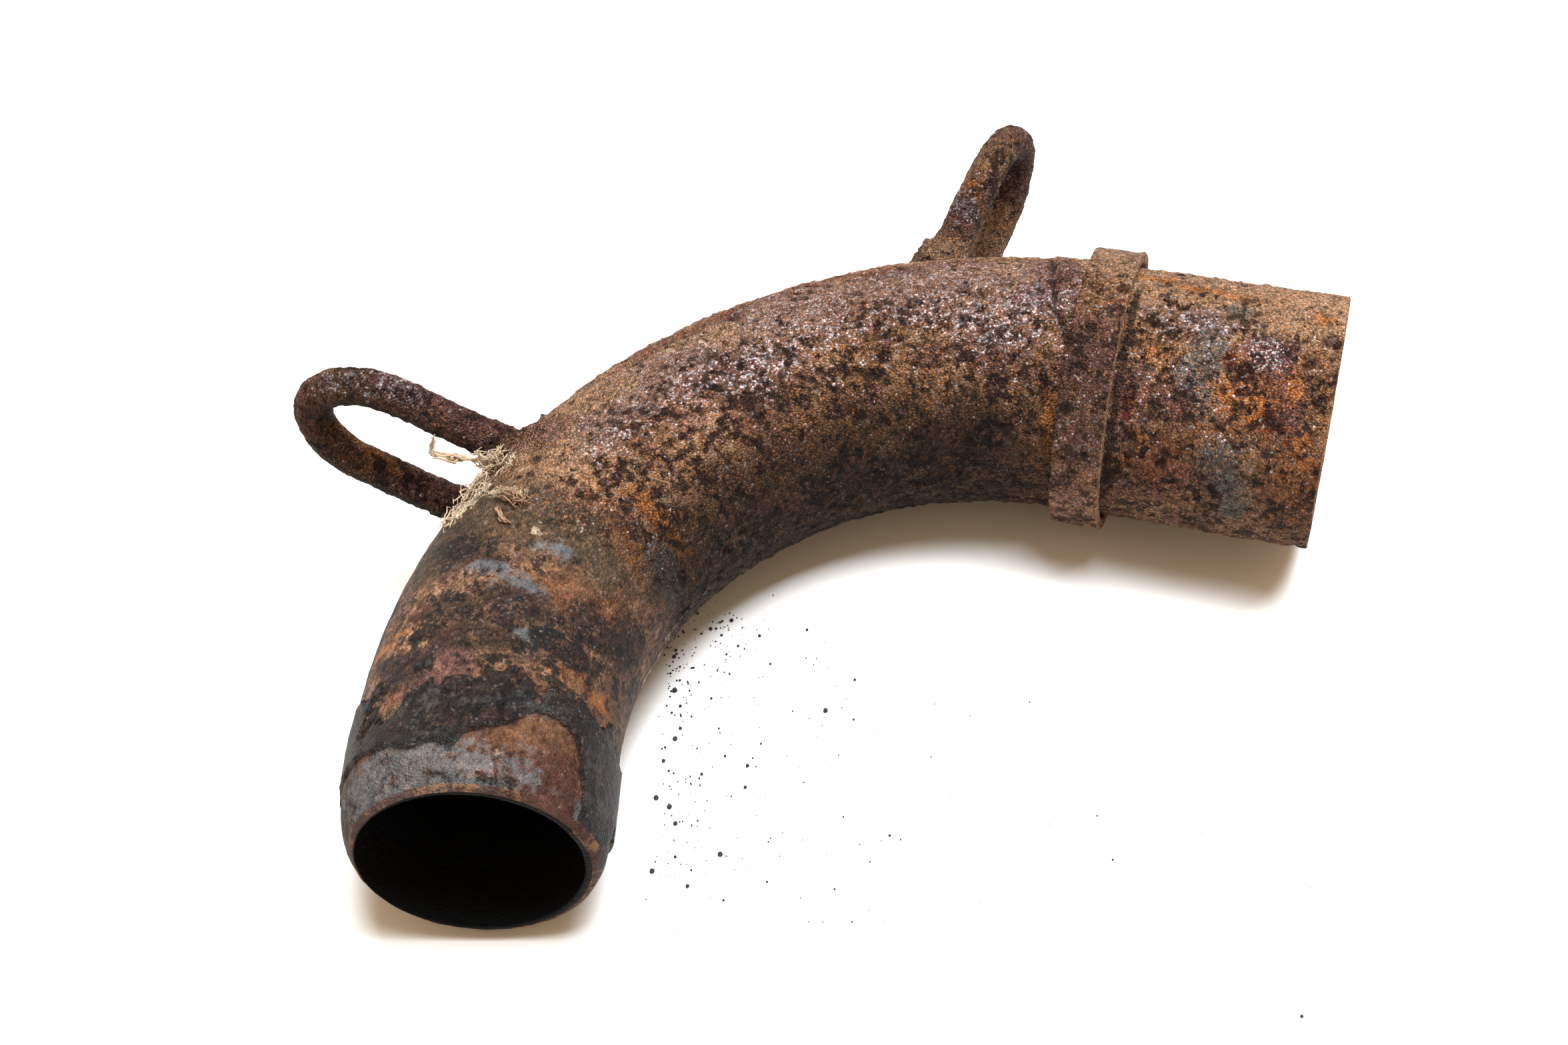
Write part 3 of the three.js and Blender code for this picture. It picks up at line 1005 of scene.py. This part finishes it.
# Finishes


class Wire:
    """A socket that does sums: mask * 2 + 1 adds the Math nodes for it."""

    def __init__(self, shader, socket):
        self.shader = shader
        self.socket = socket

    def __add__(self, other):
        return self.shader.sum("ADD", self, other)

    def __radd__(self, other):
        return self.shader.sum("ADD", other, self)

    def __sub__(self, other):
        return self.shader.sum("SUBTRACT", self, other)

    def __rsub__(self, other):
        return self.shader.sum("SUBTRACT", other, self)

    def __mul__(self, other):
        return self.shader.sum("MULTIPLY", self, other)

    def __rmul__(self, other):
        return self.shader.sum("MULTIPLY", other, self)

    def other(self, output):
        """Another output of the same node."""
        return Wire(self.shader, self.socket.node.outputs[output])


class Shader:
    """One material's nodes."""

    def __init__(self, name):
        self.material = bpy.data.materials.new(name)
        self.material.use_nodes = True
        self.tree = self.material.node_tree
        self.tree.nodes.clear()

    def add(self, kind, settings, *values, output=0, places=None, **named):
        """A node of this kind, with its settings, then the values or links of its sockets."""
        node = self.tree.nodes.new("ShaderNode" + kind)
        for setting, value in settings.items():
            setattr(node, setting, value)
        for place, value in [*zip(places or range(len(values)), values), *named.items()]:
            socket = node.inputs[place if isinstance(place, int) else place.replace("_", " ")]
            if isinstance(value, Wire):
                self.tree.links.new(value.socket, socket)
            else:
                socket.default_value = value
        return Wire(self, node.outputs[output]) if node.outputs else None

    def sum(self, operation, first, second):
        """A Math node on two values."""
        return self.add("Math", {"operation": operation}, first, second)

    def mix(self, share, first, second, blend="MIX"):
        """The second colour over the first, by this share."""
        first, second = (value if isinstance(value, Wire) else (*value, 1) for value in (first, second))
        settings = {"data_type": "RGBA", "blend_type": blend}
        return self.add("Mix", settings, share, first, second, output=2, places=(0, 6, 7))

    def noise(self, place, size, detail, roughness=0.6):
        """Clouds whose swells are about this size."""
        clouds = {"Vector": place, "Scale": 1 / size, "Detail": detail, "Roughness": roughness}
        return self.add("TexNoise", {}, **clouds)

    def grains(self, place, size, output=0):
        """Cells of about this size: their distance, or with output 1 a random colour each."""
        settings = {"feature": "F1"}
        return self.add("TexVoronoi", settings, output=output, Vector=place, Scale=1 / size)

    def step(self, value, low, high):
        """Rises smoothly from 0 at low to 1 at high."""
        settings = {"interpolation_type": "SMOOTHSTEP"}
        return self.add("MapRange", settings, value, low, high, 0.0, 1.0)

    def painted(self, name):
        """The value painted on the mesh under this name."""
        return self.add("Attribute", {"attribute_name": name}, output=2)

    def mixed(self, share, first, second):
        """The second value over the first, by this share."""
        return first + (second - first) * share

    def surface(self, **sockets):
        """The finished surface."""
        surface = self.add("BsdfPrincipled", {}, **sockets)
        self.add("OutputMaterial", {}, Surface=surface)
        return self.material


def rust_finish(name):
    """Rust in layers: a mottled ground, patches of oxide, painted glints, scale, residue, painted shade and
    the black inside.
    """
    colours = sizes().colours
    shader = Shader(name)
    place = shader.add("TexCoord", {}, output=3)
    elsewhere = shader.add("Mapping", {}, Vector=place, Location=(0.4, 0.2, 0.7))

    # Patterns, from broad to fine
    swell = shader.noise(place, 26 * MM, 5)
    mottle = shader.noise(place, 6.5 * MM, 5, 0.65)
    blotch = shader.noise(elsewhere, 9 * MM, 5, 0.7)
    speck = shader.noise(place, 1.7 * MM, 4, 0.7)
    spot = shader.noise(elsewhere, 3.2 * MM, 4, 0.65)
    cell = shader.grains(place, 0.46 * MM)
    grain = shader.add("SeparateColor", {}, cell.other("Color"))
    tint, sort = grain.other(1), grain.other(2)
    clump = shader.add("SeparateColor", {}, shader.grains(place, 1.3 * MM, output=1))
    crust = shader.painted("crust")
    ragged = (mottle - 0.5) * 0.9 + (speck - 0.5) * 1.1 + (clump - 0.5) * 0.12

    def patch(attribute, softness=0.07, breakup=1.0):
        value = shader.painted(attribute) + ragged * breakup
        return shader.step(value, 0.5 - softness, 0.5 + softness)

    # The mottled ground, with dry dust and a painted lighter top on the upper sides
    fine = (speck - 0.5) * 0.7
    dusty_and_top_lit = shader.painted("dust_and_top_light")
    base = shader.mix(shader.step(mottle + fine, 0.36, 0.60), colours.umber, colours.brown)
    drift = shader.noise(elsewhere, 15 * MM, 4, 0.6)
    base = shader.mix(shader.step(drift + fine, 0.50, 0.60) * 0.4, base, colours.tan)
    base = shader.mix(shader.step(1 - drift + fine, 0.54, 0.64) * 0.5, base, colours.umber)
    base = shader.mix(shader.step(blotch + fine, 0.52, 0.62) * 0.7, base, colours.maroon)
    base = shader.mix(shader.step(spot + fine * 0.5, 0.60, 0.68) * 0.6, base, colours.russet)
    # Dust and painted light: tan laid in patches, more of it on the painted upper sides.
    dust_and_top_light = shader.step(swell + fine + dusty_and_top_lit * 0.20, 0.50, 0.66)
    dust_and_top_light = dust_and_top_light * (0.45 + dusty_and_top_lit * 0.25) * (0.05 + crust * 0.95)
    base = shader.mix(dust_and_top_light, base, colours.tan)

    # The smoother front leg, dappled with scale and bare skin
    leg = (1 - crust) * 1.3
    dapple = shader.noise(elsewhere, 5 * MM, 6, 0.76)
    base = shader.mix(shader.step(dapple, 0.48, 0.54) * leg * 0.9, base, colours.scale)
    base = shader.mix(shader.step(1 - dapple, 0.53, 0.58) * leg * 0.8, base, colours.bare)
    base = shader.mix(shader.step(spot + fine, 0.62, 0.68) * leg * 0.6, base, colours.tan)

    # Patches of oxide
    base = shader.mix(patch("maroon", 0.12) * 0.7, base, colours.maroon)
    base = shader.mix(patch("russet", 0.14, 1.7) * (0.35 + crust * 0.35), base, colours.russet)
    base = shader.mix(patch("olive", 0.2, 0.6) * 0.8, base, colours.olive)
    slate = patch("slate", 0.2, 1.3)
    base = shader.mix(slate * 0.75, base, colours.slate)
    base = shader.mix(patch("graphite", 0.12) * 0.8, base, colours.scale)
    base = shader.mix(patch("ochre", 0.2, 1.6) * 0.75, base, colours.ochre)
    ember = patch("ember", 0.1, 0.5)
    base = shader.mix(ember * 0.85, base, colours.ember)

    # Bare skin, the grey film and the black scale that ends above the mouth
    bare = patch("bare", 0.06, 0.35)
    bare_skin = shader.mix(shader.step(blotch, 0.42, 0.6) * 0.4, colours.bare, colours.brown)
    base = shader.mix(bare * 0.95, base, bare_skin)
    ash = patch("ash", 0.24, 1.4)
    base = shader.mix(ash * 0.85, base, colours.ash)
    scale = patch("scale", 0.03, 0.06)
    plate = shader.mix(shader.step(blotch + fine, 0.5, 0.66) * 0.4, colours.scale, colours.slate)
    plate = shader.mix(shader.step(dapple + fine, 0.58, 0.64) * 0.4, plate, colours.bare)
    base = shader.mix(scale * 0.92, base, plate)
    # Painted shadow: a dark line just below the scale's lower edge.
    below_scale = shader.step(shader.painted("scale") + ragged * 0.06, 0.32, 0.48) * (1 - scale)
    flake = patch("flake", 0.05, 0.2)
    base = shader.mix(flake * 0.95, base, colours.scale)

    # Pits, golden grains, painted glints and residue
    painted_glint_patch = shader.step(shader.painted("painted_glint_patch") + ragged * 0.8, 0.3, 0.8)
    up = shader.add("SeparateXYZ", {}, shader.add("NewGeometry", {}, output=1), output=2)
    lit = shader.step(up, -0.2, 0.6) * (1 - dusty_and_top_lit * 0.6)
    pitting = shader.noise(elsewhere, 4.5 * MM, 6, 0.75) + (clump - 0.5) * 0.08 + dusty_and_top_lit * 0.07
    pits = shader.step(1 - pitting, 0.53, 0.60) * crust * (1 - ash * 0.9) * (1 - slate * 0.8)
    base = shader.mix(painted_glint_patch * crust * 0.55, base, colours.maroon)
    gold = shader.step(sort + (spot - 0.5) * 0.8, 0.76, 0.92) * crust * (1 - painted_glint_patch) * (1 - scale)
    golden = shader.mix(shader.step(tint, 0.5, 0.6), colours.tan, colours.ochre)
    base = shader.mix(gold * 0.5, base, golden)
    base = shader.mix(pits * 0.7, base, colours.maroon)
    # Painted highlights: bright grains, pale, blue-grey and orange, painted into the colour, most on the
    # upper sides and in the glint patches.
    glint = shader.step(grain + painted_glint_patch * 0.30 + (clump - 0.5) * 0.25, 0.965, 1.03)
    glint = glint * crust * (0.3 + 0.7 * lit)
    glint_colour = shader.mix(shader.step(sort + (spot - 0.5), 0.5, 0.6), colours.pale, colours.steel)
    glint_colour = shader.mix(shader.step(tint, 0.86, 0.88) * (1 - painted_glint_patch), glint_colour, colours.ochre)
    base = shader.mix(glint * 0.85, base, glint_colour)
    lime = patch("lime", 0.1, 0.9)
    base = shader.mix(lime * 0.9, base, colours.lime)

    # Light and dark from grain to grain, with painted shade between grains, and painted shade towards the
    # floor and on the inner side
    # Painted shade in the gaps between grains: each grain darkens towards its edge.
    rough_shade = (1.0 + shader.step(tint, 0.35, 1.0) * 1.4) * (1.15 - cell * 0.75)
    rough_shade = rough_shade + (clump - 0.5) * 0.6 + (speck - 0.5) * (2.5 - dusty_and_top_lit * 1.3)
    rough_shade = rough_shade * (1.08 - pits * 0.78 - dusty_and_top_lit * 0.16)
    smooth_shade = 1.0 + (tint - 0.5) * 0.3 + (speck - 0.5) * 2.4 + (spot - 0.5) * 1.4
    shade = shader.sum("MAXIMUM", shader.mixed(crust, smooth_shade, rough_shade), 0.08)
    # Painted shade, read from each piece, darkens the colour.
    painted_shade = shader.step(shader.painted("painted_shade") + ragged * 0.8, 0.0, 1.0)
    shade = shade * (1 - painted_shade * 0.84)
    base = shader.mix(1.0, base, shader.add("CombineColor", {}, shade, shade, shade), "MULTIPLY")

    # Painted shade in the deep pits and the crevice, the painted shadow line below the scale, worn edges with
    # a painted highlight, and the black inside
    # Painted shade: near black in the sunk pits and the crevice.
    dark = shader.step(shader.painted("deep") + (speck - 0.5) * 0.8, 0.2, 0.9)
    pit_dark, line_dark = (0.014, 0.008, 0.006), (0.006, 0.005, 0.005)
    base = shader.mix(dark * 0.8, base, pit_dark)
    base = shader.mix(below_scale * 0.9, base, line_dark)
    rim = shader.step(shader.painted("rim") + ragged * 1.2, 0.45, 0.75)
    worn = shader.mix(shader.step(blotch + fine, 0.5, 0.62), colours.bare, colours.brown)
    base = shader.mix(rim * 0.7, base, worn)
    # Wear and painted highlights: light tan on the stub's cut edge and the band's lip.
    base = shader.mix(shader.painted("worn") * 0.7, base, colours.tan)
    # The black over the inner wall.
    inside = shader.step(shader.painted("inside"), 0.4, 0.6)
    base = shader.mix(inside, base, colours.inside_black)

    # Gloss and grain
    roughness = 0.75 - glint * 0.4 - ember * 0.25 - slate * 0.15 - scale * 0.12
    roughness = roughness - (1 - crust) * 0.14 + inside * 0.1
    round_grains = (1 - cell * 1.6) * (0.1 + crust * 0.4)
    relief = round_grains - pits * 0.45 + tint * 0.15 * crust + clump * 0.25 * crust
    relief = relief + speck * 0.9 + mottle * 0.6
    normal = shader.add("Bump", {}, Strength=1.0, Distance=1.0 * MM, Height=relief)
    return shader.surface(
        Base_Color=base,
        Roughness=roughness,
        Specular_IOR_Level=0.11,
        Normal=normal,
    )


def fibre_finish():
    """Dusty fibres, beige with brown dirt."""
    colours = sizes().colours
    shader = Shader("Fibre dust")
    place = shader.add("TexCoord", {}, output=3)
    dirt = shader.step(shader.noise(place, 3 * MM, 4, 0.7), 0.42, 0.62)
    base = shader.mix(dirt * 0.7, colours.lime, colours.tan)
    tuft = shader.add("SeparateXYZ", {}, place, output=0)
    base = shader.mix(shader.step(tuft, -54 * MM, -51 * MM) * 0.75, base, colours.brown)
    return shader.surface(Base_Color=base, Roughness=0.95)


# The fibres


class Tangle(NamedTuple):
    """Caught fibres: how many, how far they stray and how thick they are, and the way they follow."""

    count: int
    stray: float
    thickness: float
    way: tuple


# All in millimetres, in the part's frame
TANGLES = (
    Tangle(
        5, 0.5, 0.34,
        ((-70.9, -21, 50), (-71.6, -23, 46.6), (-67.5, -22, 45.4), (-64.6, -21, 44.6), (-61.5, -21.4, 44.2)),
    ),
    Tangle(46, 1.5, 0.19, ((-62, -21, 45), (-59.6, -22.4, 46.6), (-57.6, -22.6, 48.4), (-56.2, -21, 50))),
    Tangle(30, 1.3, 0.17, ((-57.4, -24.6, 47), (-58.8, -27, 46.2), (-60.2, -29.6, 45.2), (-61.2, -33, 45))),
    Tangle(16, 0.9, 0.16, ((-61, -33.6, 45), (-61.8, -36.6, 44.8), (-62.4, -39.6, 44.4))),
    Tangle(
        44, 1.1, 0.18,
        ((-52.6, -32.4, 50.6), (-50, -33.2, 51.4), (-47.4, -33.8, 52), (-45.6, -34.2, 52.2)),
    ),
    Tangle(8, 0.5, 0.24, ((-50.6, -36.8, 51.2), (-49.4, -39, 51.4), (-47.4, -40.6, 51.8))),
    Tangle(1, 0.1, 0.12, ((-26.2, -19.8, 49.2), (-24.4, -19.4, 48.6), (-21.7, -18.4, 46.9))),
)


class CORRODEDPIPE_OT_fibres(bpy.types.Operator):
    """Models the dusty fibres caught at the foot of the front loop"""

    bl_idname = "corroded_pipe.fibres"
    bl_label = "Caught fibres"

    def execute(self, context):
        dice = Random(5)
        piece = added(bpy.ops.curve.primitive_bezier_curve_add)
        piece.matrix_world = Matrix.Identity(4)
        lines = piece.data
        lines.dimensions = "3D"
        lines.bevel_depth = 1 * MM
        lines.bevel_resolution = 1
        lines.use_fill_caps = True
        lines.splines.clear()
        for tangle in TANGLES:
            for _ in range(tangle.count):
                self.add_fibre(lines, tangle, dice)
        bpy.ops.object.convert(target="MESH")
        piece = context.active_object
        finish_piece(piece, "caught_fibres", None, fibre_finish())
        return {"FINISHED"}

    def add_fibre(self, lines, tangle, dice):
        """One crooked fibre that follows part of the way, or all of it where there are only a few."""
        way, stray = tangle.way, tangle.stray
        few = tangle.count < 6
        steps = 4 * (len(way) - 1)
        first = 0 if few else dice.randrange(0, max(1, steps - 5))
        last = steps if few else min(steps, first + dice.randrange(4, 9))
        offset = Vector([dice.gauss(0, stray * 0.6) for _ in range(3)])
        places = []
        for step in range(first, last + 1):
            share = step / steps * (len(way) - 1)
            index = min(int(share), len(way) - 2)
            place = Vector(way[index]).lerp(Vector(way[index + 1]), share - index)
            offset = offset * 0.75 + Vector([dice.gauss(0, stray * 0.5) for _ in range(3)])
            places.append((place + offset) * MM)
        spline = lines.splines.new("POLY")
        spline.points.add(len(places) - 1)
        for number, (point, place) in enumerate(zip(spline.points, places)):
            point.co = (*place, 1)
            thinner = 1 - 0.6 * abs(2 * number / max(1, len(places) - 1) - 1) ** 2
            point.radius = tangle.thickness * thinner * dice.uniform(0.7, 1.2)


# The stage


def stage_floor():
    """A plain pale floor: one large sheet."""
    floor = added(bpy.ops.mesh.primitive_plane_add, size=sizes().stage.floor)
    floor.name = "floor"
    shader = Shader("Floor")
    material = shader.surface(Base_Color=(0.9, 0.9, 0.9, 1), Roughness=0.6)
    floor.data.materials.append(material)


def scatter_crumbs():
    """Crumbs of rust on the floor, thickest in front of the bend's inner side."""
    dice = Random(3)
    count = sizes().stage.crumbs
    start, run = Vector((-27, -14)), Vector((18, -66))
    near_stray, far_stray = 9, 26
    least, most = 0.09, 0.6
    crumbs = []
    for number in range(count):
        share = dice.random() ** 1.6
        stray = near_stray if number < 0.75 * count else far_stray
        x = start.x + run.x * share + dice.expovariate(1 / stray)
        y = start.y + run.y * share + 0.3 * stray * dice.gauss(0, 1)
        radius = min(most, least * math.exp(abs(dice.gauss(0, 0.7)))) * MM
        crumb = added(
            bpy.ops.mesh.primitive_ico_sphere_add,
            subdivisions=1,
            radius=radius,
            location=(x * MM, y * MM, radius * 0.6),
            rotation=[dice.uniform(0, 6) for _ in range(3)],
        )
        crumbs.append(crumb)
    pile = joined(crumbs)
    pile.name = "crumbs"
    shader = Shader("Crumbs")
    pile.data.materials.append(shader.surface(Base_Color=(0.02, 0.015, 0.012, 1), Roughness=0.8))


def area_light(name, place, target, size, power, tint):
    """A soft square light that faces the target."""
    light = added(bpy.ops.object.light_add, type="AREA", location=place)
    light.name = name
    light.data.size = size
    light.data.energy = power
    light.data.color = tint
    direction = Vector(target) - Vector(place)
    light.rotation_euler = direction.to_track_quat("-Z", "Y").to_euler()


class CORRODEDPIPE_OT_stage(bpy.types.Operator):
    """Sets the floor, the lights, the surroundings and the camera"""

    bl_idname = "corroded_pipe.stage"
    bl_label = "Stage"

    def execute(self, context):
        stage = sizes().stage
        stage_floor()
        place, target, size = (0.15, 0.16, 1.4), (0, 0, 0.03), 0.75
        area_light("key_light", place, target, size, stage.key_power, stage.key_colour)
        scatter_crumbs()
        world = bpy.data.worlds.new("White surroundings")
        world.use_nodes = True
        background = world.node_tree.nodes["Background"]
        background.inputs["Color"].default_value = (*stage.fill_colour, 1)
        background.inputs["Strength"].default_value = stage.fill
        context.scene.world = world
        context.scene.view_settings.view_transform = "Standard"
        camera = added(
            bpy.ops.object.camera_add, location=stage.camera_place, rotation=stage.camera_turn
        )
        camera.name = "camera"
        camera.data.lens = stage.camera_lens
        camera.data.sensor_width = 36
        camera.data.clip_start = 0.01
        context.scene.camera = camera
        return {"FINISHED"}


class CORRODEDPIPE_PT_sidebar(bpy.types.Panel):
    """Lists the pieces, their sizes and their colours in the sidebar"""

    bl_idname = "CORRODEDPIPE_PT_sidebar"
    bl_label = "Corroded pipe"
    bl_space_type = "VIEW_3D"
    bl_region_type = "UI"
    bl_category = "Corroded pipe"

    def draw(self, context):
        layout = self.layout
        for operator in OPERATORS:
            layout.operator(operator.bl_idname)
        settings = context.scene.corroded_pipe
        for group in (settings.pipe, settings.band, settings.loops, settings.colours, settings.stage):
            box = layout.box()
            for name in group.bl_rna.properties.keys():
                if name not in ("rna_type", "name"):
                    box.prop(group, name)


OPERATORS = (
    CORRODEDPIPE_OT_stage,
    CORRODEDPIPE_OT_bend_pipe,
    CORRODEDPIPE_OT_band,
    CORRODEDPIPE_OT_hanger_loops,
    CORRODEDPIPE_OT_fibres,
)
CLASSES = (
    PipeSizes,
    BandSizes,
    LoopSizes,
    RustColours,
    StageSizes,
    CorrodedPipeSettings,
    *OPERATORS,
    CORRODEDPIPE_PT_sidebar,
)


def register():
    """Adds the operators, the panel and the settings."""
    for item in CLASSES:
        bpy.utils.register_class(item)
    bpy.types.Scene.corroded_pipe = PointerProperty(
        type=CorrodedPipeSettings, name="Corroded pipe", description="Sizes, colours and stage"
    )


def unregister():
    """Takes them away again."""
    del bpy.types.Scene.corroded_pipe
    for item in reversed(CLASSES):
        bpy.utils.unregister_class(item)


def main():
    """Builds everything in order."""
    register()
    bpy.ops.corroded_pipe.stage()
    bpy.ops.corroded_pipe.bend_pipe()
    bpy.ops.corroded_pipe.band()
    bpy.ops.corroded_pipe.hanger_loops()
    bpy.ops.corroded_pipe.fibres()
    bpy.context.view_layer.update()


if __name__ == "__main__":
    main()
